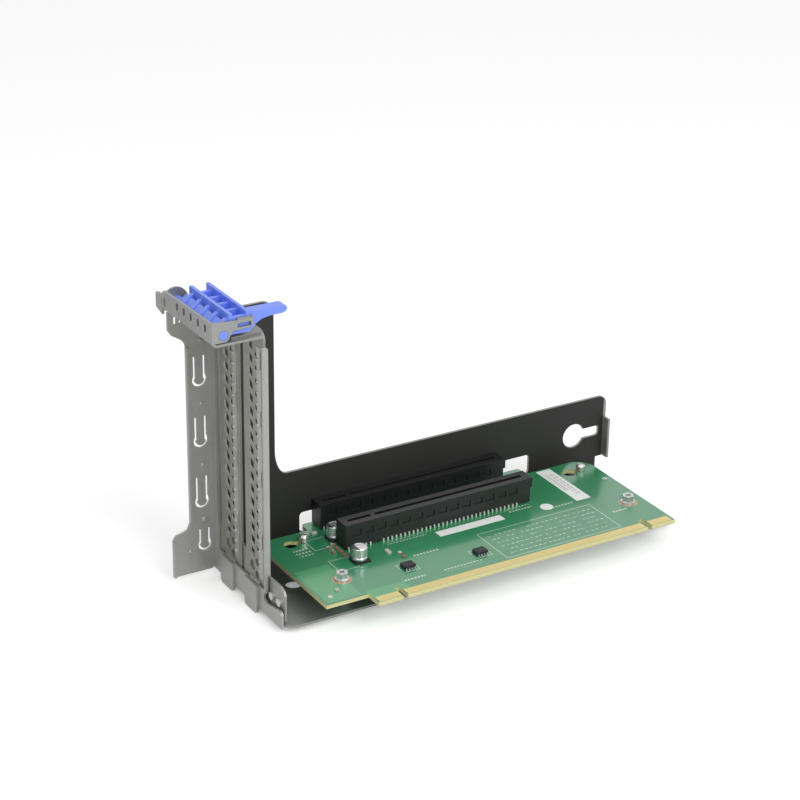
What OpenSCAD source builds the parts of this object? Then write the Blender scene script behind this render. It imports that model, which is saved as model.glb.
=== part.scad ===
// Riser cage bracket: a folded sheet metal cage with a riser board,
// two card slots, two slot covers and a hinged retainer latch.
// Units are millimetres, +Z is up, the tray lies flat on z = 0.
// Origin: centre of the tray's locating hole, on the tray's underside.
// The rear panel faces -X, the slots run along X, the side wall is at +Y.

/* [Sheet metal] */
// Thickness of the folded sheet metal
sheet_t = 1.0; // [0.8:0.1:1.2]
// Depth of the tray in front of the near slot's centre line
tray_front = 31.5; // [29.5:0.5:33]
// Overall length of the side wall, from the rear panel
wall_len = 188.7; // [187:0.5:200]
// Height of the low part of the side wall
wall_low_h = 35.8; // [34:0.5:45]
// Height of the tall part of the side wall
wall_tall_h = 111.3; // [100:0.5:113]
// Length of the tall part of the side wall
wall_tall_w = 26.3; // [20:0.5:27]
// Radius of the locating hole in the tray
tray_hole_r = 3.35; // [2.5:0.05:3.6]
// Radius of the keyhole in the side wall
keyhole_r = 5.4; // [4:0.1:6]

/* [Slots] */
// Distance between the two card slots
slot_pitch = 20.32; // [20:0.02:21]
// Width of the slot covers
cover_w = 18.42; // [18:0.02:18.8]
// Length of the card connectors
conn_len = 89; // [80:0.5:90]
// Height of the card connectors
conn_h = 11; // [9:0.1:12]
// Width of the card connectors
conn_w = 7.5; // [7:0.1:7.6]
// Width of the card slot in a connector
card_slot_w = 1.8; // [1.7:0.05:2]

/* [Board] */
// Thickness of the riser board
board_t = 1.6; // [1.2:0.1:2]
// Height of the standoffs below the board
standoff_h = 8; // [7:0.1:9]
// Depth of the board in front of the near slot's centre line
board_front = 46.4; // [45:0.1:48]
// Right end of the board, from the rear panel
board_right = 174; // [173:0.5:180]
// Pitch of the edge fingers
finger_pitch = 1.0; // [0.8:0.05:1.2]

/* [Rear panel] */
// Height of the rear panel's near edge flange
panel_h = 111.6; // [105:0.1:112]
// Outward reach of the side flange
flange_reach = 18; // [16:0.5:19]

/* [Latch] */
// Length of the latch between the end plates
latch_len = 38; // [36:0.5:38.4]
// Radius of the latch's stub pins
pin_r = 1.8; // [1.4:0.05:2]
// Radial clearance of the stub pins
pin_gap = 0.12; // [0.08:0.01:0.2]
// Distance of the handle's tip from the rear panel
handle_reach = 11.2; // [9:0.1:14]

/* [Hidden] */
$fn = 32;
eps = 0.01;
hole_x = 20;
hole_y = -2;
board_z = sheet_t + standoff_h;
top_z = board_z + board_t;
inner_y = slot_pitch + conn_w / 2 + 0.43;
film_t = 0.2;
cover_t = 0.86;
cover_x = 1.05;
tongue_x = 0.07;
end_x = cover_x + cover_t + 0.06;
cover_off = 6.1;
near_c = -cover_off;
far_c = slot_pitch - cover_off;
near_edge = near_c - cover_w / 2 - 0.14;
far_edge = far_c + cover_w / 2 + 0.14;
shelf_z = 116.4;
conn_x0 = 42.65;
conn_x1 = conn_x0 + conn_len;
key_x = conn_x0 + 14.5;
floor_z = top_z;
pivot_x = -15.6;
latch_swing = 55;
rib_r = 6.1;
pivot_z = 119.6;
ledge_x0 = -20.3;
rail_h = 8.4;
plate_near_y = near_edge - sheet_t;
tongue_w = 8;
wall_y0 = inner_y;
win_x0 = 37.2;
win_x1 = 149;
key_c_x = 172;
key_c_z = 19.8;
key_end_x = 185;
latch_y0 = near_edge + 0.25;
latch_y1 = latch_y0 + latch_len;
flange_y = wall_y0 + 2.5;

// ---------- helpers ----------

// moves the working coordinates (rear panel face, near slot) to the origin
module placed() {
  translate([-hole_x, -hole_y, 0])
    children();
}

// box from two corners
module box(a, b) {
  translate(a)
    cube([b[0] - a[0], b[1] - a[1], b[2] - a[2]]);
}

// plate in the XZ plane: 2-D x,z outline, from y0 to y0 + t
module plate_xz(y0, t) {
  translate([0, y0 + t, 0])
    rotate([90, 0, 0])
      linear_extrude(t)
        children();
}

// plate in the YZ plane: 2-D y,z outline, from x0 to x0 + t
module plate_yz(x0, t) {
  translate([x0, 0, 0])
    rotate([90, 0, 90])
      linear_extrude(t)
        children();
}

// upright plate in the XY plane
module plate_xy(z0, t) {
  translate([0, 0, z0])
    linear_extrude(t)
      children();
}

// rectangle with its four corners rounded
module rrect(x0, y0, x1, y1, r) {
  union() {
    translate([x0 + r, y0])
      square([x1 - x0 - 2 * r, y1 - y0]);
    translate([x0, y0 + r])
      square([x1 - x0, y1 - y0 - 2 * r]);
    for (x = [x0 + r, x1 - r], y = [y0 + r, y1 - r])
      translate([x, y])
        circle(r);
  }
}

// upright slot with round ends
module slot2d(x, z0, z1, w) {
  translate([x - w / 2, z0 + w / 2])
    square([w, z1 - z0 - w]);
  translate([x, z0 + w / 2])
    circle(w / 2);
  translate([x, z1 - w / 2])
    circle(w / 2);
}

// ---------- folded cage ----------

// outline of the side wall, x and z
module wall_outline() {
  n = 10;
  step_w = 5.5;
  step_h = 11;
  r_top = 5;
  r_end = 4;
    union() {
      square([wall_len - 4.4, 8]);
      translate([0, 7.2])
        square([wall_len - r_end, wall_low_h - 7.2]);
      translate([wall_len - r_end - 1, 7.2])
        square([r_end + 1, wall_low_h - 7.2 - r_end]);
      translate([wall_len - r_end, wall_low_h - r_end])
        circle(r_end);
      square([wall_tall_w, wall_tall_h - r_top]);
      square([wall_tall_w - r_top, wall_tall_h]);
      translate([wall_tall_w - r_top, wall_tall_h - r_top])
        circle(r_top);
      // concave corner between the tall and the low part
      polygon(concat(
        [[wall_tall_w - 1, wall_low_h - 1], [wall_tall_w - 1, wall_low_h + step_h]],
        [for (i = [0:n]) let (a = 90 * i / n)
          [wall_tall_w + step_w * (1 - cos(a)), wall_low_h + step_h * (1 - sin(a))]],
        [[wall_tall_w + step_w, wall_low_h - 1]]
      ));
    }
}

// window and keyhole in the side wall
module wall_openings() {
  rrect(win_x0, board_z - 1.6, win_x1, top_z + 5.65, 1.6);
  translate([key_c_x, key_c_z])
    circle(keyhole_r, $fn = 64);
  rrect(key_c_x, key_c_z - 2.2, key_end_x, key_c_z + 2.2, 1.6);
}

module cage_bracket() {
  color([0.66, 0.67, 0.67])
    placed()
      union() {
        // tray
        difference() {
          plate_xy(0, sheet_t)
            union() {
              translate([7, -tray_front])
                square([wall_len - 4.4 - 7, tray_front + wall_y0 + sheet_t]);
              translate([1, 6 - tray_front])
                square([10, tray_front - 6 + wall_y0 + sheet_t]);
              translate([7, 6 - tray_front])
                circle(6);
            }
          translate([hole_x, hole_y, -1])
            cylinder(r = tray_hole_r, h = 4, $fn = 64);
        }
        // side wall with its window and keyhole
        plate_xz(wall_y0, sheet_t)
          difference() {
            wall_outline();
            translate([-1, -1])
              square([2, 200]);
            wall_openings();
          }
        // end flange behind the slot covers
        plate_yz(end_x, sheet_t)
          polygon([
            [4 - tray_front, 0], [wall_y0 + sheet_t, 0], [wall_y0 + sheet_t, 19.6],
            [-11, 19.6], [-12.2, 18.8], [-13.6, 15.8], [-15, 15.6],
            [6.2 - tray_front, 15.6], [4 - tray_front, 14.6], [3 - tray_front, 13],
            [3 - tray_front, 2]
          ]);
        // end tab
        box([wall_len - sheet_t, wall_y0 - 3.6, 7.2], [wall_len, wall_y0 + 0.5, 25.5]);
      }
}

module insulating_film() {
  m = 0.25;
  color([0.12, 0.12, 0.12])
    placed()
      plate_xz(wall_y0 - film_t, film_t)
        difference() {
          intersection() {
            translate([0, 0])
              wall_outline();
            translate([-m, -m])
              wall_outline();
            translate([end_x + sheet_t + 0.3, sheet_t + 0.3])
              square([wall_len - end_x - 2 * sheet_t - 0.7, 200]);
          }
          rrect(win_x0 - m, board_z - 1.6 - m, win_x1 + m, top_z + 5.65 + m, 2);
          translate([key_c_x, key_c_z])
            circle(keyhole_r + m, $fn = 64);
          rrect(key_c_x, key_c_z - 2.2 - m, key_end_x + m, key_c_z + 2.2 + m, 1.6);
        }
}

// ---------- rear panel ----------

// one U shaped cut that frees a spring finger, x and z, tip at the bottom
module finger_cut(x0, x1, z0, z1) {
  w = 0.95;
  r = (x1 - x0) / 2 + 0.5;
  c = (x0 + x1) / 2;
  translate([x0, z0 + r])
    square([w, z1 - z0 - r]);
  translate([x1 - w, z0 + r])
    square([w, z1 - z0 - r]);
  difference() {
    translate([c, z0 + r])
      circle(r);
    translate([c, z0 + r])
      circle(r - w);
    translate([x0 + w, z0 + r])
      square([x1 - x0 - 2 * w, r + 1]);
    translate([x0 - 3, z0 + 1.8 * r])
      square([2 * r + 6, r + 1]);
  }
}

// outline of the outward side flange, x and z
module side_flange_outline() {
  polygon([
    [0.5, 2], [-1, 0], [-flange_reach, 0], [-flange_reach, 16.2], [-flange_reach + 1.2, 18.2],
    [-13.4, 19], [-11.6, 19.8], [-10.4, 22.6], [-10.4, 98], [-10.8, 99.6], [-12.1, 101.2],
    [-16.2, 103.8], [-flange_reach + 0.4, 106], [-flange_reach + 0.4, 113.6],
    [-10, 113.6], [-8, shelf_z - sheet_t], [1, shelf_z - sheet_t]
  ]);
}

module tongue_pocket(c) {
  // bulged strap over the cover's tongue
  plate_yz(-0.15 - sheet_t, sheet_t)
    difference() {
      rrect(c - tongue_w / 2 - 1.2, -2.2, c + tongue_w / 2 + 1.2, 12, 2);
      translate([c - 10, 10])
        square([20, 5]);
    }
  box([-0.16, c - tongue_w / 2 - 1.2, 0.2], [0.5, c - tongue_w / 2 - 0.2, 10]);
  box([-0.16, c + tongue_w / 2 + 0.2, 0.2], [0.5, c + tongue_w / 2 + 1.2, 10]);
  box([-0.16, c - 3.4, -2.2], [0.9, c + 3.4, -1.2]);
}

module rear_panel() {
  color([0.62, 0.63, 0.62])
    placed()
      union() {
        // bottom plate with the near flare and the two tongue openings
        plate_yz(0, 1)
          difference() {
            polygon([
              [far_edge, 10], [near_edge - 0.02, 10], [-15.1, 6.2], [-17, 5.3], [-22, 6],
              [-28, 7.1], [-29, 6.7], [-29.6, 5.6], [-29.6, 0], [wall_y0 + 3.5, 0],
              [wall_y0 + 3.5, shelf_z - sheet_t], [far_edge, shelf_z - sheet_t]
            ]);
            for (c = [near_c, far_c])
              translate([c - tongue_w / 2 - 0.2, -1])
                square([tongue_w + 0.4, 20]);
          }
        tongue_pocket(near_c);
        tongue_pocket(far_c);
        // near edge flange
        plate_xz(near_edge - sheet_t, sheet_t)
          union() {
            translate([0, 16.4])
              square([2.4, panel_h - 17.8]);
            translate([0, 9])
              square([1.4, panel_h - 9]);
            translate([1.4, panel_h - 1.4])
              circle(1);
          }
        // outward side flange with spring fingers
        plate_xz(flange_y, 1)
          difference() {
            side_flange_outline();
            finger_cut(-7.4, -2.3, 80.3, 93.2);
            finger_cut(-7.4, -2.3, 54.4, 67.6);
            finger_cut(-7.4, -2.3, 28, 41.7);
            finger_cut(-6.5, -1.7, 8.9, 18.7);
            translate([-15.1, 108])
              square([1.1, 3.2]);
            translate([-12.9, 108.2])
              square([0.9, 1.2]);
          }
        // return lips of the side flange
        box([-flange_reach, flange_y - 0.8, 0], [-flange_reach + 1, flange_y + 0.5, 15.6]);
        box([-10.4, flange_y - 0.7, 23], [-9.4, flange_y + 0.5, 97.6]);
        // dimples
        for (z = [99.3, 72.9, 46.6, 22.8])
          translate([-4.1, flange_y + 0.3, z])
            rotate([90, 0, 0])
              cylinder(r1 = 1.3, r2 = 0.7, h = 0.9);
        translate([-10.4, flange_y + 0.3, 9.6])
          rotate([90, 0, 0])
            cylinder(r1 = 1.2, r2 = 0.6, h = 0.9);
        translate([-7.6, flange_y + 0.3, 8.6])
          rotate([90, 0, 0])
            rotate([0, 0, -58])
              linear_extrude(0.8)
                rrect(0, -0.5, 6.4, 0.5, 0.45);
      }
}

module panel_rivets() {
  color([0.75, 0.75, 0.74])
    placed()
      for (y = [-25, -19]) {
        translate([1, y, 9])
          rotate([0, 90, 0])
            cylinder(r = 1.6, h = end_x - 1);
        translate([end_x + sheet_t, y, 9])
          rotate([0, 90, 0])
            cylinder(r1 = 1.9, r2 = 1.3, h = 0.7);
      }
}

// ---------- latch rail ----------

// end plate outline, x and z
module end_plate_outline() {
  difference() {
    polygon([
      [ledge_x0, 118], [ledge_x0 + 1.4, 116.9], [-14.6, 116.9], [-13.4, 117.8], [-12.6, 119.6],
      [-11.6, 120.6], [-4.6, 120.9], [-3.4, 121.6], [-3.4, 124.3], [ledge_x0, 124.8]
    ]);
    translate([pivot_x, pivot_z])
      circle(pin_r + pin_gap, $fn = 48);
    translate([-9.9, 121.6])
      square([5.6, 1.7]);
  }
}

module latch_rail() {
  y1 = latch_y1 + 0.4;
  color([0.66, 0.67, 0.67])
    placed()
      union() {
        // ledge under the cover shelves, with a bent up edge
        plate_xz(near_edge - sheet_t, flange_y - near_edge + sheet_t)
          polygon([
            [0.9, shelf_z - sheet_t], [0.9, shelf_z], [ledge_x0 + 1.6, shelf_z],
            [ledge_x0 + 1, shelf_z + 0.7], [ledge_x0 + 1, shelf_z + 2], [ledge_x0, shelf_z + 2],
            [ledge_x0, shelf_z + 0.6], [ledge_x0 + 1.4, shelf_z - sheet_t]
          ]);
        // upright band with five embossed slots
        difference() {
          plate_yz(ledge_x0, 1)
            difference() {
              polygon([
                [near_edge - sheet_t, shelf_z + 0.8], [wall_y0 - 0.6, shelf_z + 0.8],
                [wall_y0 + 0.6, 113.8], [flange_y + 4, 115.4], [flange_y + 4, 121],
                [flange_y + 3.2, 121.6], [wall_y0 + 2, 121.8], [wall_y0 - 0.6, 124],
                [near_edge - sheet_t, 124.8]
              ]);
              translate([wall_y0 - 0.4, 110])
                square([1.5, 10.4]);
            }
          for (i = [0:4])
            translate([ledge_x0 - 1, near_edge + 4.4 + i * 5.85, 121.2])
              rotate([90, 0, 90])
                linear_extrude(3)
                  slot2d(0, -1.9, 1.9, 1.8);
        }
        // raised lips below the slots
        for (i = [0:4])
          translate([ledge_x0 + 0.2, near_edge + 4.4 + i * 5.85, 119])
            rotate([0, -90, 0])
              cylinder(r1 = 1.1, r2 = 0.6, h = 0.6, $fn = 20);
        // near end plate
        plate_xz(near_edge - sheet_t, sheet_t)
          end_plate_outline();
        difference() {
          box([-9.8, near_edge - sheet_t, 123.9], [-3.4, near_edge, 125.1]);
          box([-9.2, near_edge - sheet_t - 1, 124.6], [-4, near_edge - sheet_t + 0.3, 126]);
        }
        // far end plate
        difference() {
          plate_xz(y1, sheet_t)
            union() {
              translate([ledge_x0, shelf_z - 0.2])
                square([7.2, 4.4]);
              translate([pivot_x, pivot_z])
                circle(5.2, $fn = 48);
            }
          translate([pivot_x, y1 + 2, pivot_z])
            rotate([90, 0, 0])
              cylinder(r = pin_r + pin_gap, h = 4, $fn = 48);
        }
      }
}

// ---------- slot covers ----------

module slot_cover(c) {
  z0 = 10.3;
  z1 = shelf_z + cover_t + 0.05;
  pitch = 5.45;
  edge = c + cover_w / 2;
  union() {
    plate_yz(cover_x, cover_t)
      difference() {
        union() {
          translate([c - cover_w / 2, z0])
            square([cover_w - 1.9, z1 - z0 - 4]);
          translate([c - cover_w / 2 + 4, z0])
            square([cover_w - 5.9, z1 - z0]);
          translate([c - cover_w / 2 + 4, z1 - 4])
            circle(4);
          translate([c, z0])
            square([cover_w / 2, 10.4]);
          translate([c, z1 - 6])
            square([cover_w / 2, 6]);
        }
        // honeycomb vents in two staggered columns
        for (i = [0:17])
          translate([c + 1.9, 15.75 + i * pitch])
            rotate(30)
              circle(2.35, $fn = 6);
        for (i = [0:17])
          translate([c - 1.9, 13.1 + i * pitch])
            rotate(30)
              circle(1.75, $fn = 6);
      }
    // return lip along the far edge
    box([cover_x, edge - 1.9 - cover_t, z0 + 11], [cover_x + 2.2, edge - 1.9, z1 - 6.5]);
    // tongue, stepped outwards into the panel's pocket
    plate_xz(c - tongue_w / 2, tongue_w)
      polygon([
        [tongue_x, 0.8], [tongue_x + cover_t, 0.8], [tongue_x + cover_t, 8.8],
        [cover_x + cover_t, 10.2], [cover_x + cover_t, z0 + 0.5], [cover_x, z0 + 0.5],
        [cover_x, 10.7], [tongue_x, 9.2]
      ]);
    plate_yz(tongue_x, cover_t)
      polygon([
        [c - tongue_w / 2, 2], [c - tongue_w / 2, 1], [c - tongue_w / 2 + 1.2, -1],
        [c + tongue_w / 2 - 1.2, -1], [c + tongue_w / 2, 1], [c + tongue_w / 2, 2]
      ]);
    // shelf resting on the rail's ledge
    difference() {
      box([-11.4, c - cover_w / 2 + 1.2, shelf_z + 0.05], [cover_x + eps, c + cover_w / 2, z1]);
      translate([-8.6, c + cover_w / 2 - 3, shelf_z - 1])
        cylinder(r = 1.9, h = 4);
      box([-8.6, c + cover_w / 2 - 4.9, shelf_z - 1], [-3.6, c + cover_w / 2 + 1, z1 + 1]);
    }
  }
}

module slot_cover_near() {
  color([0.55, 0.56, 0.55])
    placed()
      slot_cover(near_c);
}

module slot_cover_far() {
  color([0.55, 0.56, 0.55])
    placed()
      slot_cover(far_c);
}

// contact strip along the cover's near side: a row of bumps and long tabs
module cover_spring(c) {
  y0 = c - 7.2;
  union() {
    box([cover_x - 0.15, c - 5.3, 13], [cover_x, c - 3.9, 110]);
    for (i = [0:20])
      translate([cover_x - 0.1, c - 4.6, 15.6 + i * 4.45])
        rotate([0, -90, 0])
          cylinder(r1 = 0.85, r2 = 0.5, h = 0.5, $fn = 16);
    box([cover_x - 0.15, y0, 13], [cover_x, y0 + 1.9, 110]);
    for (z = [25.8, 52.6, 77.5, 101])
      plate_xz(y0 + 0.1, 1.1)
        polygon([
          [cover_x - 0.1, z], [cover_x - 0.5, z + 1.2], [cover_x - 0.5, z + 6.6],
          [cover_x - 0.1, z + 7.8]
        ]);
  }
}

module cover_spring_near() {
  color([0.8, 0.8, 0.78])
    placed()
      cover_spring(near_c);
}

module cover_spring_far() {
  color([0.8, 0.8, 0.78])
    placed()
      cover_spring(far_c);
}

// ---------- riser board ----------

stud_xs = [32, 166.5];
stud_ys = [11.5, 10.5];
screw_xs = [30, 166.3];
screw_ys = [-23.3, -24];
board_step = board_front - 7.9;

module riser_board() {
  color([0.05, 0.3, 0.14])
    placed()
      difference() {
        plate_xy(board_z, board_t)
          difference() {
            union() {
              translate([14.7, -board_step])
                square([board_right - 14.7 - 8, board_step + 19]);
              translate([33.2, -board_front])
                square([board_right - 33.2, board_front + 11]);
              translate([board_right - 8, 11])
                circle(8);
              rrect(win_x0 + 0.8, 10, win_x1 - 5, wall_y0 + 0.3, 1.5);
            }
            // key notches
            for (x = [45.2, 161.3])
              translate([x - 1, -board_front - 1])
                square([2, 8]);
            // keyholes for the rear studs
            for (i = [0, 1]) {
              translate([stud_xs[i], stud_ys[i]])
                circle(1.5);
              translate([stud_xs[i] - 5.8, stud_ys[i] - 1.5])
                square([5.8, 3]);
              translate([stud_xs[i] - 5.8, stud_ys[i]])
                circle(2.9);
            }
          }
        for (i = [0, 1])
          translate([screw_xs[i], screw_ys[i], board_z - 1])
            cylinder(r = 1.7, h = board_t + 2);
        // bevel along the edge fingers
        translate([30, -board_front, top_z])
          rotate([45, 0, 0])
            translate([0, -0.3, -0.3])
              cube([150, 0.6, 0.6]);
      }
}

// fingers from x0 to x1 on both faces of the board
module finger_block(x0, x1) {
  n = floor((x1 - x0) / finger_pitch);
  for (i = [0:n - 1]) {
    x = x0 + (i + 0.15) * finger_pitch;
    box([x, 0.5 - board_front, top_z], [x + 0.7 * finger_pitch, 4.5 - board_front, top_z + 0.05]);
    box([x, 0.5 - board_front, board_z - 0.05], [x + 0.7 * finger_pitch, 4.5 - board_front, board_z]);
  }
}

module edge_contacts() {
  color([0.9, 0.7, 0.2])
    placed()
      union() {
        finger_block(34, 44);
        finger_block(46.6, 160);
        finger_block(162.7, board_right - 0.6);
      }
}

// ---------- card connectors ----------

module connector(yc) {
  z1 = floor_z + conn_h;
  difference() {
    union() {
      box([conn_x0, yc - conn_w / 2, floor_z + 0.4], [conn_x1, yc + conn_w / 2, z1]);
      for (x = [conn_x0 + 0.5, conn_x1 - 4.5])
        box([x, yc - conn_w / 2 + 0.6, floor_z], [x + 3, yc + conn_w / 2 - 0.6, floor_z + 0.5]);
    }
    // lower right end steps back
    box([conn_x1 - 1, yc - 5, floor_z - 1], [conn_x1 + 1, yc + 5, floor_z + conn_h - 4.2]);
    // card slot, interrupted by the key
    box([conn_x0 + 3, yc - card_slot_w / 2, floor_z + 3], [key_x - 1, yc + card_slot_w / 2, z1 + 1]);
    box([key_x + 0.9, yc - card_slot_w / 2, floor_z + 3], [conn_x1 - 3.4, yc + card_slot_w / 2, z1 + 1]);
    // contact chambers beside the slot
    for (a = [[conn_x0 + 3.4, key_x - 1.4], [key_x + 1.3, conn_x1 - 3.8]])
      box([a[0], yc - 1.9, floor_z + 3], [a[1], yc + 1.9, z1 - 1.8]);
    // pockets along both faces
    for (i = [0:13], s = [-1, 1]) {
      x = conn_x0 + 5.2 + i * (conn_len - 10) / 13.8;
      translate([x, yc + s * conn_w / 2, floor_z + conn_h * 0.62])
        cube([4.2, 0.9, 2.6], center = true);
    }
    // lead-in along the slot
    for (s = [-1, 1])
      translate([conn_x0 + 3, yc + s * card_slot_w / 2, z1])
        rotate([45, 0, 0])
          cube([conn_len - 6.4, 0.7, 0.7], center = false);
  }
}

module connector_near() {
  color([0.1, 0.1, 0.11])
    placed()
      connector(0);
}

module connector_far() {
  color([0.1, 0.1, 0.11])
    placed()
      connector(slot_pitch);
}

// contact blades in the chambers and upright solder tails outside
module contacts(yc) {
  n = floor((conn_x1 - 5.5 - (key_x + 2.4)) / 2);
  for (i = [-7:n])
    if (i < -1 || i > 0)
      for (s = [-1, 1]) {
        x = key_x + 0.55 + i * 2;
        ya = yc + s * (conn_w / 2 + 0.05);
        yb = yc + s * (conn_w / 2 + 0.55);
        box([x, min(ya, yb), floor_z], [x + 0.6, max(ya, yb), floor_z + (s < 0 ? 1.3 : 0.4)]);
        yd = yc + s * 1.25;
        ye = yc + s * 1.75;
        if (i > -6)
          box([x, min(yd, ye), floor_z + 3], [x + 0.6, max(yd, ye), floor_z + conn_h - 2.2]);
      }
}

module contacts_near() {
  color([0.85, 0.78, 0.55])
    placed()
      contacts(0);
}

module contacts_far() {
  color([0.85, 0.78, 0.55])
    placed()
      intersection() {
        contacts(slot_pitch);
        box([0, 0, 0], [200, wall_y0 - 0.25, 60]);
      }
}

// ---------- parts on the board ----------

cap_r = 3.2;
cap_near = [43.6, -13.2];
cap_far = [44.2, 7.9];

module can(at) {
  translate([at[0], at[1], top_z + 0.9])
    rotate_extrude($fn = 48)
      polygon([
        [0, 0], [cap_r - 0.3, 0], [cap_r, 0.3], [cap_r, 1], [cap_r - 0.25, 1.25], [cap_r, 1.5],
        [cap_r, 5], [cap_r - 0.4, 5.4], [cap_r - 0.8, 5.4], [cap_r - 0.8, 5.3], [0, 5.3]
      ]);
}

module capacitor_near() {
  color([0.75, 0.76, 0.77])
    placed()
      can(cap_near);
}

module capacitor_far() {
  color([0.75, 0.76, 0.77])
    placed()
      can(cap_far);
}

module capacitor_base(at) {
  translate([at[0], at[1], top_z])
    linear_extrude(0.9)
      polygon([[-3.4, -2.4], [-2.4, -3.4], [3.4, -3.4], [3.4, 3.4], [-2.4, 3.4], [-3.4, 2.4]]);
}

module capacitor_bases() {
  color([0.08, 0.08, 0.08])
    placed()
      union() {
        capacitor_base(cap_near);
        capacitor_base(cap_far);
      }
}

chip_xs = [57.4, 88.4];
chip_ys = [-27.4, -31.5];

module chip_bodies() {
  color([0.07, 0.07, 0.08])
    placed()
      for (i = [0, 1])
        translate([chip_xs[i], chip_ys[i], top_z + 0.1])
          difference() {
            translate([-2.5, -2, 0])
              cube([5, 4, 1.5]);
            translate([-1.8, -1.3, 1.4])
              cylinder(r = 0.35, h = 1);
          }
}

module chip_leads() {
  color([0.8, 0.8, 0.78])
    placed()
      for (i = [0, 1], k = [0:3], s = [-1, 1])
        translate([chip_xs[i] - 2.1 + k * 1.27, chip_ys[i], top_z]) {
          y0 = s > 0 ? 2 : -3;
          ya = s > 0 ? 2 : -2.3;
          translate([0, y0, 0])
            cube([0.42, 1, 0.2]);
          translate([0, ya, 0])
            cube([0.42, 0.3, 0.8]);
        }
}

smd = [
  [40.6, 2.4, 1.6, 2.2], [40.6, -0.8, 1.6, 2.2], [40.5, -4, 1.6, 2.2], [40.4, -7.2, 1.6, 2.2],
  [37.6, 1, 1.2, 2], [37.5, -3, 1.2, 2], [38.8, 15.2, 2.2, 1.4], [35.4, 15.4, 1.4, 1.4],
  [56.9, -12.8, 1.6, 3], [60.4, -16.4, 1.4, 2], [60.4, -19.6, 1.4, 1.4], [24, -30, 1.6, 1.2]
];

module passives() {
  color([0.6, 0.52, 0.4])
    placed()
      for (p = smd)
        translate([p[0] - p[2] / 2, p[1] - p[3] / 2, top_z])
          cube([p[2], p[3], 0.7]);
}

module standoffs() {
  color([0.72, 0.72, 0.7])
    placed()
      union() {
        for (i = [0, 1])
          translate([screw_xs[i], screw_ys[i], sheet_t])
            difference() {
              cylinder(r = 3.2, h = standoff_h, $fn = 6);
              translate([0, 0, standoff_h - 5])
                cylinder(r = 1.55, h = 6);
            }
        for (i = [0, 1])
          translate([stud_xs[i], stud_ys[i], sheet_t])
            cylinder(r = 2.9, h = standoff_h);
      }
}

// tall hex head with a small round flange and crossed recess
module flange_screw(x, y) {
  translate([x, y, 0])
    difference() {
      union() {
        translate([0, 0, top_z])
          cylinder(r = 2.9, h = 0.7);
        translate([0, 0, top_z + 0.6])
          cylinder(r = 2.5, h = 2.7, $fn = 6);
        translate([0, 0, top_z - board_t - 4])
          cylinder(r = 1.45, h = board_t + 4.2);
      }
      for (a = [0, 90])
        translate([0, 0, top_z + 3])
          rotate([0, 0, a + 20])
            cube([2.8, 0.6, 1.4], center = true);
    }
}

module board_screws() {
  color([0.78, 0.78, 0.76])
    placed()
      for (i = [0, 1])
        flange_screw(screw_xs[i], screw_ys[i]);
}

// headed stud: shank in the board's keyhole, domed head above
module mushroom_stud(x, y) {
  translate([x, y, board_z])
    rotate_extrude($fn = 48)
      polygon([
        [0, 0], [1.25, 0], [1.25, board_t + 0.15], [1.95, board_t + 0.15], [1.95, board_t + 2.3],
        [1.6, board_t + 2.9], [0.9, board_t + 3.2], [0, board_t + 3.2]
      ]);
}

module board_studs() {
  color([0.78, 0.78, 0.76])
    placed()
      for (i = [0, 1])
        mushroom_stud(stud_xs[i], stud_ys[i]);
}

module label_left() {
  color([0.93, 0.93, 0.9])
    placed()
      plate_xy(top_z, 0.1)
        rrect(82, -12, 113.2, -7.7, 0.3);
}

module label_right() {
  color([0.93, 0.93, 0.9])
    placed()
      plate_xy(top_z, 0.1)
        rrect(148.4, -12.8, 155.4, 17.8, 0.3);
}

module marker_disc() {
  color([0.93, 0.93, 0.9])
    placed()
      translate([134.2, -11.1, top_z])
        cylinder(r = 2.7, h = 0.12);
}

// ---------- latch ----------

// rounded rib between the band and the inner bar, x and z about the pivot
// reach of the rounded ribs at angle a, so that they pass the rail's band in the whole swing
function rib_reach(a) =
  let (c = -cos(min(a + latch_swing, 180)))
    c < 0.5 ? rib_r : min(rib_r, (pivot_x - ledge_x0 - 1) / c - 0.35);

module rib_outline() {
  n = 10;
  polygon(concat(
    [[0, 0], [4, 0.5], [4, 6.6], [2.6, 6.6]],
    [for (i = [0:n]) let (a = 66 + 70 * i / n, r = rib_reach(a)) [r * cos(a), r * sin(a)]]
  ));
}

module skin_outline() {
  n = 8;
  polygon(concat(
    [for (i = [0:n]) let (a = 76 + 54 * i / n, r = rib_reach(a) - 0.5) [r * cos(a), r * sin(a)]],
    [for (i = [n:-1:0]) let (a = 76 + 54 * i / n, r = rib_reach(a) - 1.5) [r * cos(a), r * sin(a)]]
  ));
}

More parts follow.
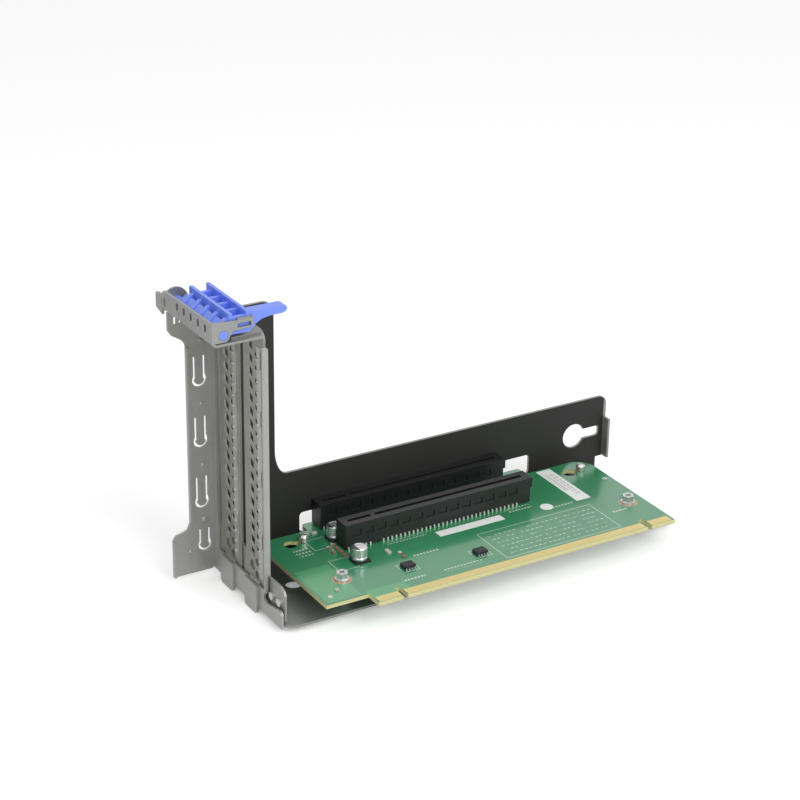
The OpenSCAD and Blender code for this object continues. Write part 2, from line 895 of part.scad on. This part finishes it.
module latch() {
  y0 = latch_y0;
  y1 = latch_y1;
  pitch = 6.85 * latch_len / 38;
  color([0.45, 0.55, 0.95])
    placed()
      union() {
        // stub pins
        translate([pivot_x, y0 + 0.1, pivot_z])
          rotate([90, 0, 0])
            cylinder(r = pin_r, h = 1.4, $fn = 48);
        translate([pivot_x, y1 + 1.2, pivot_z])
          rotate([90, 0, 0])
            cylinder(r = pin_r, h = 1.3, $fn = 48);
        // hinge barrel
        translate([pivot_x, y1, pivot_z])
          rotate([90, 0, 0])
            cylinder(r = 2.3, h = latch_len, $fn = 48);
        // web from the barrel to the inner bar
        box([pivot_x, y0, pivot_z - 0.9], [-11.4, y1 - 4, pivot_z + 0.9]);
        box([-12.8, y0, pivot_z - 0.9], [-11.4, y1 - 5.6, pivot_z + 7.3]);
        // outer bar
        box([-5.8, y0, 118.6], [-4.5, y1 - 5.6, 126.9]);
        // floor between the bars, open at one side of each cell
        difference() {
          box([-11.5, y0, 120.6], [-5.7, y1 - 6, 122.2]);
          for (i = [0:3])
            box([-8.4, y0 + 4.4 + i * pitch, 119], [-5.9, y0 + 7.2 + i * pitch, 124]);
        }
        // cross ribs
        for (i = [0:4])
          box([-11.5, y0 + i * pitch, 118.8], [-5.7, y0 + 1.6 + i * pitch, 125.4]);
        // rounded ribs and the skin between them
        for (i = [0:4])
          translate([pivot_x, y0 + 2.4 + i * pitch, pivot_z])
            rotate([90, 0, 0])
              linear_extrude(2.1)
                rib_outline();
        translate([pivot_x, y1 - 6.2, pivot_z])
          rotate([90, 0, 0])
            linear_extrude(latch_len - 7)
              skin_outline();
        // handle
        translate([0, y0 + 4.5, 0])
          rotate([90, 0, 0])
            linear_extrude(4.5)
              polygon([
                [-5, 119], [-3.6, 119.4], [-1.9, 121.2], [0.5, 122.6], [3.8, 123.2],
                [handle_reach - 2, 123.3], [handle_reach - 0.7, 123.7], [handle_reach, 124.8],
                [handle_reach - 0.5, 125.9], [handle_reach - 1.6, 126.3], [3.3, 126.3], [-5, 126.4]
              ]);
      }
}

// ---------- selection ----------

cage_bracket();
insulating_film();
rear_panel();
panel_rivets();
latch_rail();
slot_cover_near();
slot_cover_far();
cover_spring_near();
cover_spring_far();
riser_board();
edge_contacts();
connector_near();
connector_far();
contacts_near();
contacts_far();
capacitor_near();
capacitor_far();
capacitor_bases();
chip_bodies();
chip_leads();
passives();
standoffs();
board_screws();
board_studs();
label_left();
label_right();
marker_disc();
latch();
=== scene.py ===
# %% [markdown]
# Riser cage bracket
# A server's riser cage is a folded steel bracket that carries a green circuit
# board with two card slots. Its construction comes ready made, one mesh for
# each piece. These cells give every piece its finish, draw the fine marks on
# it, light the object and point a camera at it.

# %% Bring in the construction
import bpy
from math import cos, radians, sin
from mathutils import Matrix, Vector


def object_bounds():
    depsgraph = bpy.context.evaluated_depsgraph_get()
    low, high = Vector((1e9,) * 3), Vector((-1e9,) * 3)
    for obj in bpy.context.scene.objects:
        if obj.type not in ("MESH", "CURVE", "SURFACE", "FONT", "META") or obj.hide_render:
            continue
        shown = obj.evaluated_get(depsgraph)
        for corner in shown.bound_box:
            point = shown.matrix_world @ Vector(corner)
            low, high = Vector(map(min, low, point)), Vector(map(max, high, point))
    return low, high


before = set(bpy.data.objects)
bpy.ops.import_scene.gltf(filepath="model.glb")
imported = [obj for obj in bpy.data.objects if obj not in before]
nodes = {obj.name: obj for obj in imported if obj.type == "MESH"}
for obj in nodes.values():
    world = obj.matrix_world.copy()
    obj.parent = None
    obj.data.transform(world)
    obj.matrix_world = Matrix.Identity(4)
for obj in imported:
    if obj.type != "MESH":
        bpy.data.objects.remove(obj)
size_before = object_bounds()
MM = 0.001
HOLE_X, HOLE_Y = 20.0, -2.0

# %% [markdown]
# Every length below is in millimetres from the rear panel's face, the near
# slot's centre line and the tray's underside. The object's own origin is the
# tray's locating hole, so one helper turns such a place into scene metres.

# %% A place in scene metres
TOP_Z = 10.6
SLOT_X = 42.65


def place(x, y, z):
    return Vector(((x - HOLE_X) * MM, (y - HOLE_Y) * MM, z * MM))


print("near slot starts at", place(SLOT_X, 0, TOP_Z))

# %% [markdown]
# Shader maths reads best as ordinary sums. This small class wraps a socket, so
# that an expression such as (x - 3) * mask adds the Math nodes it needs.

# %% Shader sums
class Wire:
    def __init__(self, socket):
        self.socket = socket

    def math(self, operation, other=None, third=None, swap=False):
        tree = self.socket.id_data
        node = tree.nodes.new("ShaderNodeMath")
        node.operation = operation
        values = [self, other, third]
        if swap:
            values = [other, self]
        for slot, value in zip(node.inputs, values):
            if isinstance(value, Wire):
                tree.links.new(value.socket, slot)
            elif value is not None:
                slot.default_value = value
        return Wire(node.outputs[0])

    def __add__(self, other):
        return self.math("ADD", other)

    def __sub__(self, other):
        return self.math("SUBTRACT", other)

    def __rsub__(self, other):
        return self.math("SUBTRACT", other, swap=True)

    def __mul__(self, other):
        return self.math("MULTIPLY", other)

    def __truediv__(self, other):
        return self.math("DIVIDE", other)

    def __gt__(self, other):
        return self.math("GREATER_THAN", other)

    def __lt__(self, other):
        return self.math("LESS_THAN", other)

    def __mod__(self, other):
        return self.math("FLOORED_MODULO", other)

    def __or__(self, other):
        return self.math("MAXIMUM", other)

    def __abs__(self):
        return self.math("ABSOLUTE")

    __radd__ = __add__
    __rmul__ = __mul__


print("shader sums ready")

# %% [markdown]
# A finish is one Principled shader with plain values set on it first. Its add
# method makes any other node, and link joins a sum to one of the shader's
# inputs. Patterns are read from Object coordinates, which on these pieces are
# the object's own metres.

# %% The finish helper
class Finish:
    def __init__(self, name, color, roughness=0.5, metallic=0.0, coat=0.0):
        self.material = bpy.data.materials.new(name)
        self.material.use_nodes = True
        self.tree = self.material.node_tree
        self.shader = self.tree.nodes["Principled BSDF"]
        self.shader.inputs["Base Color"].default_value = (*color, 1)
        self.shader.inputs["Roughness"].default_value = roughness
        self.shader.inputs["Metallic"].default_value = metallic
        self.shader.inputs["Coat Weight"].default_value = coat
        self.shader.inputs["Coat Roughness"].default_value = 0.12
        self.coords = self.tree.nodes.new("ShaderNodeTexCoord").outputs["Object"]
        split = self.tree.nodes.new("ShaderNodeSeparateXYZ")
        self.tree.links.new(self.coords, split.inputs[0])
        self.x = Wire(split.outputs[0]) / MM + HOLE_X
        self.y = Wire(split.outputs[1]) / MM + HOLE_Y
        self.z = Wire(split.outputs[2]) / MM

    def add(self, kind, settings=None, **values):
        node = self.tree.nodes.new(kind)
        for name, value in (settings or {}).items():
            setattr(node, name, value)
        for name, value in values.items():
            by_number = name[1:].isdigit()
            slot = node.inputs[int(name[1:]) if by_number else name]
            if isinstance(value, Wire):
                self.tree.links.new(value.socket, slot)
            else:
                slot.default_value = value
        return node

    def link(self, name, wire):
        self.tree.links.new(wire.socket, self.shader.inputs[name])

    def noise(self, scale, detail=3.0, stretch=(1, 1, 1)):
        mapped = self.add("ShaderNodeMapping", Vector=Wire(self.coords), Scale=stretch)
        place_in = Wire(mapped.outputs[0])
        cloud = self.add("ShaderNodeTexNoise", Vector=place_in, Scale=scale, Detail=detail)
        return Wire(cloud.outputs[0])

    def mix(self, mask, low, high):
        settings = {"data_type": "RGBA"}
        node = self.add("ShaderNodeMix", settings, _0=mask)
        for slot, value in ((node.inputs[6], low), (node.inputs[7], high)):
            if isinstance(value, Wire):
                self.tree.links.new(value.socket, slot)
            else:
                slot.default_value = (*value, 1)
        return Wire(node.outputs[2])

    def bump(self, height, strength, distance):
        node = self.add("ShaderNodeBump", Height=height, Strength=strength, Distance=distance)
        self.link("Normal", Wire(node.outputs[0]))

    def box(self, x0, y0, x1, y1):
        inside_x = abs(self.x - (x0 + x1) / 2) < (x1 - x0) / 2
        inside_y = abs(self.y - (y0 + y1) / 2) < (y1 - y0) / 2
        return inside_x * inside_y

    def outline(self, x0, y0, x1, y1, line=0.3):
        inner = self.box(x0 + line, y0 + line, x1 - line, y1 - line)
        return self.box(x0, y0, x1, y1) * (1 - inner)

    def ring(self, x, y, inner, outer):
        dx = self.x - x
        dy = self.y - y
        reach = (dx * dx + dy * dy).math("SQRT")
        return (reach < outer) * (reach > inner)


print("finish helper ready")

# %% [markdown]
# The cage is zinc plated sheet. Up close it is a soft grey metal with a fine
# grain and slow cloudy patches. Two noise patterns give that: a fine one
# for the grain and a broad one for the patches.

# %% Zinc plated sheet
def sheet_metal(name, dark, light, roughness, metallic=0.5):
    grain_share = 0.4
    rough_swing = 0.14
    finish = Finish(name, light, roughness, metallic)
    grain = finish.noise(900, 2)
    cloud = finish.noise(45, 3)
    blend = cloud * (1 - grain_share) + grain * grain_share
    finish.link("Base Color", finish.mix(blend, dark, light))
    finish.link("Roughness", grain * rough_swing + roughness - rough_swing / 2)
    finish.bump(grain, 0.06, 0.0002)
    return finish


steel = sheet_metal(
    "zinc plated steel", (0.2, 0.205, 0.195), (0.42, 0.425, 0.405), 0.4)
panel_steel = sheet_metal(
    "rear panel steel", (0.3, 0.303, 0.29), (0.5, 0.5, 0.48), 0.42)
rail_steel = sheet_metal(
    "latch rail steel", (0.22, 0.225, 0.22), (0.42, 0.425, 0.41), 0.4)
cover_steel = sheet_metal(
    "slot cover steel", (0.2, 0.2, 0.18), (0.38, 0.38, 0.345), 0.42)
spring_steel = sheet_metal(
    "contact strip steel", (0.34, 0.34, 0.32), (0.52, 0.52, 0.5), 0.34)
plated = sheet_metal(
    "bright plated steel", (0.5, 0.51, 0.5), (0.75, 0.76, 0.74), 0.28, 0.9)
print("metal finishes ready")

# %% [markdown]
# The side wall's inner face is covered with a thin black insulating film. It
# is matt with a very slight sheen, so it is a dark colour with a high
# roughness that varies a little.

# %% Black film
film = Finish("black insulating film", (0.013, 0.013, 0.012), 0.55)
film.link("Roughness", film.noise(60, 3) * 0.16 + 0.5)
print("film ready")

# %% [markdown]
# The board's solder mask is a glossy green. Copper under it shows as a lighter
# green, its cut edges are pale resin, and white ink marks outlines on top. The
# marks are masks, worked out from x and y, so they stay sharp at any distance.

# %% Solder mask green
SKIN = 0.05
BOARD_T = 1.6
board = Finish("green solder mask", (0.02, 0.2, 0.08), 0.3, 0.0, 1.0)
on_top = board.z > TOP_Z - SKIN
on_edge = (board.z < TOP_Z - SKIN) * (board.z > TOP_Z - BOARD_T + SKIN)
cloud = board.noise(30, 3)
green = board.mix(cloud, (0.016, 0.19, 0.075), (0.03, 0.27, 0.11))
trace_pitch, trace_width = 1.6, 0.35
traces = (board.x + board.y) % trace_pitch < trace_width
trace_area = board.box(52, -24, 92, -6) | board.box(60, 5, 130, 15)
green = board.mix(traces * trace_area * 0.35, green, (0.05, 0.36, 0.16))
copper = board.box(16, -37.2, 31, -10) | board.box(33, -44, 50, -36)
green = board.mix(copper * 0.75, green, (0.06, 0.36, 0.13))
print("base green ready")

# %% [markdown]
# White ink: a long frame with rows of dashes inside it, the outlines of the
# connectors, capacitors and chips, and short dashes that stand for part names.

# %% White ink on the board
ink = board.outline(95.5, -40.5, 151, -17.7)
rows = ((board.y + 60) % 3.2 < 0.5) * (board.x % 2.3 < 1.5)
ink = ink | rows * board.box(98, -39, 149, -19) * (board.noise(700, 1) > 0.47)
part_outlines = (
    (32.2, -17.6, 41.4, -8.2), (32, 2, 41.2, 11.2),
    (53.6, -30.8, 61.2, -24), (84.6, -34.9, 92.2, -28.1),
)
for corners in part_outlines:
    ink = ink | board.outline(*corners)
dashes = ((board.x + 0.4) % 1.5 < 0.9) * ((board.y + 60.2) % 2.6 < 1.2)
dashed_places = (
    (50, -38, 60, -35.6), (64, -22, 76, -19.6), (68, -38.4, 86, -36),
    (24, 0, 31, 6), (118, -8, 129, -5), (60, -7.6, 78, -5.4),
    (136, -14.5, 146, -12), (155, -30, 163, -27),
)
for corners in dashed_places:
    ink = ink | dashes * board.box(*corners)
lands = board.ring(30, -23.3, 0, 4) | board.ring(166.3, -24, 0, 4)
holes = (board.ring(19.4, -33, 0, 1) | board.ring(171, -1, 0, 1.1)) * on_top
face = board.mix(ink * on_top * 0.8, green, (0.62, 0.72, 0.62))
face = board.mix(lands * on_top, face, (0.4, 0.27, 0.12))
face = board.mix(holes, face, (0.6, 0.6, 0.55))
board.link("Base Color", board.mix(on_edge, face, (0.6, 0.56, 0.26)))
board.link("Roughness", cloud * 0.1 + 0.24 + on_edge * 0.3)
print("board finish ready")

# %% [markdown]
# The edge fingers are plated with gold, which is a warm metal colour, and the
# contacts are tinned, a paler and rougher one. The connectors and chips are
# black moulding. Small parts come in two body colours, picked by a noise.

# %% Gold and other small finishes
gold = Finish("gold plating", (0.95, 0.72, 0.3), 0.28, 0.85)
contact = Finish("tinned contacts", (0.82, 0.82, 0.76), 0.35, 0.5)
black = Finish("black moulding", (0.012, 0.012, 0.013), 0.4, 0.0, 0.1)
black.link("Roughness", black.noise(300, 2) * 0.12 + 0.34)
chip = Finish("chip body", (0.014, 0.014, 0.015), 0.5)
passive = Finish("small part body", (0.3, 0.22, 0.14), 0.45)
tone = passive.noise(120, 0) > 0.5
passive.link("Base Color", passive.mix(tone, (0.24, 0.17, 0.11), (0.55, 0.54, 0.5)))
print("small finishes ready")

# %% [markdown]
# A capacitor's can is bright aluminium, and one side of its top is printed
# black, on the side of one lead. A limit in x and one in z mark that side.

# %% Capacitor cans
can = Finish("can aluminium", (0.72, 0.73, 0.74), 0.25, 0.9)
CAN_TOP_Z, PRINT_X = 16.7, 42.4
top_print = (can.z > CAN_TOP_Z) * (can.x < PRINT_X)
can.link("Base Color", can.mix(top_print, (0.72, 0.73, 0.74), (0.03, 0.03, 0.03)))
can.link("Metallic", 0.9 - top_print * 0.9)
print("can finish ready")

# %% [markdown]
# Labels are white paper. The right one carries faint grey bars in place of
# print, and the left one and the round marker are blank.

# %% Paper labels
paper = Finish("label paper", (0.8, 0.82, 0.79), 0.6)
along = paper.y + 40.0
bars = (along % 1.1 < 0.5) * paper.box(149.4, -3, 151.4, 14)
short_rows = (along % 2.7 < 1.9) * (paper.x % 1.3 < 0.6)
print_mask = (bars | short_rows * paper.box(152, -8, 154.6, 14)) * 0.6
paper.link("Base Color", paper.mix(print_mask, (0.8, 0.82, 0.79), (0.2, 0.2, 0.2)))
print("label finish ready")

# %% [markdown]
# The latch is moulded in a clear light blue. Plastic is a little rough and
# lets a trace of light in, which a weak coat stands for.

# %% Blue plastic
blue = Finish("blue latch plastic", (0.17, 0.27, 0.88), 0.36, 0.0, 0.15)
blue.link("Roughness", blue.noise(200, 2) * 0.12 + 0.3)
print("latch finish ready")

# %% [markdown]
# Each construction piece gets its finish in place of the plain colour that it
# came with. One table says which piece is made of what.

# %% Dress the construction
FINISH_OF = {
    "cage_bracket": steel, "insulating_film": film, "rear_panel": panel_steel,
    "panel_rivets": plated, "latch_rail": rail_steel,
    "slot_cover_near": cover_steel, "slot_cover_far": cover_steel,
    "cover_spring_near": spring_steel, "cover_spring_far": spring_steel,
    "riser_board": board, "edge_contacts": gold, "connector_near": black,
    "connector_far": black, "contacts_near": contact, "contacts_far": contact,
    "capacitor_near": can, "capacitor_far": can, "capacitor_bases": black,
    "chip_bodies": chip, "chip_leads": plated, "passives": passive, "standoffs": plated,
    "board_screws": plated, "board_studs": plated, "label_left": paper,
    "label_right": paper, "marker_disc": paper, "latch": blue,
}
for name, finish in FINISH_OF.items():
    piece = nodes[name]
    piece.data.materials.clear()
    piece.data.materials.append(finish.material)
print("dressed", len(FINISH_OF), "pieces")

# %% [markdown]
# The object stands on a pale floor in soft light. The floor and the world look
# white to the camera and in reflections, and light the object at a plain level.

# %% Floor and world
for thing in bpy.context.selected_objects:
    thing.select_set(False)
FLOOR_SIZE, FLOOR_GAP = 8, 0.0002
floor_z = size_before[0][2]
bpy.ops.mesh.primitive_plane_add(size=FLOOR_SIZE, location=(0.05, 0, floor_z - FLOOR_GAP))
floor = bpy.context.object
floor.name = "floor"
floor_finish = Finish("pale floor", (0.9, 0.9, 0.9), 0.9)
seen = Wire(floor_finish.add("ShaderNodeLightPath").outputs["Is Camera Ray"])
floor_finish.shader.inputs["Emission Color"].default_value = (1, 1, 1, 1)
floor_finish.link("Emission Strength", seen * 0.3)
floor.data.materials.append(floor_finish.material)

scene = bpy.context.scene
world = bpy.data.worlds.new("soft studio")
scene.world = world
world.use_nodes = True
sky = world.node_tree.nodes["Background"]
path = world.node_tree.nodes.new("ShaderNodeLightPath")
whites = Wire(path.outputs["Is Camera Ray"]) | Wire(path.outputs["Is Transmission Ray"])
glossy = Wire(path.outputs["Is Glossy Ray"])
AMBIENT = 0.62
strength = (whites | glossy) | AMBIENT
sky.inputs["Color"].default_value = (1, 1, 1, 1)
world.node_tree.links.new(strength.socket, sky.inputs["Strength"])
print("floor at", round(floor_z / MM, 2), "mm")

# %% [markdown]
# Two large soft lamps shape the object: a key lamp high in front of it, and a
# weaker one on the rear panel's side.

# %% Lamps
LAMP_TARGET = Vector((0.06, 0, 0.03))


def lamp(name, spot, size, power):
    data = bpy.data.lights.new(name, "AREA")
    data.shape = "SQUARE"
    data.size = size
    data.energy = power
    made = bpy.data.objects.new(name, data)
    scene.collection.objects.link(made)
    aim = LAMP_TARGET - Vector(spot)
    turned = aim.to_track_quat("-Z", "Y").to_matrix().to_4x4()
    made.matrix_world = Matrix.Translation(spot) @ turned
    return made


key = lamp("key lamp", (0.15, -0.8, 0.75), 0.6, 5.0)
fill = lamp("fill lamp", (-0.6, -0.35, 0.8), 0.7, 1.6)
print("lamps:", key.data.energy, fill.data.energy)

# %% [markdown]
# The camera looks at the object from the rear panel's side, a little from
# above, from nearly a metre away with a long lens.

# %% Camera
AZIMUTH, ELEVATION, ROLL = radians(-31.21), radians(24.32), radians(0.89)
DISTANCE = 0.87567
target = place(69.15, 0.0, 69.12)
level = cos(ELEVATION)
back = Vector((sin(AZIMUTH) * level, -cos(AZIMUTH) * level, sin(ELEVATION)))
camera = bpy.data.objects.new("camera", bpy.data.cameras.new("camera"))
scene.collection.objects.link(camera)
turn = (-back).to_track_quat("-Z", "Y").to_matrix().to_4x4()
stand = Matrix.Translation(target + back * DISTANCE)
camera.matrix_world = stand @ turn @ Matrix.Rotation(ROLL, 4, "Z")
camera.data.sensor_width = 36
camera.data.lens = 100.12
camera.data.clip_start = 0.01
camera.data.clip_end = 20
scene.camera = camera
scene.view_settings.view_transform = "Standard"
print("camera at", [round(v, 3) for v in camera.matrix_world.translation])
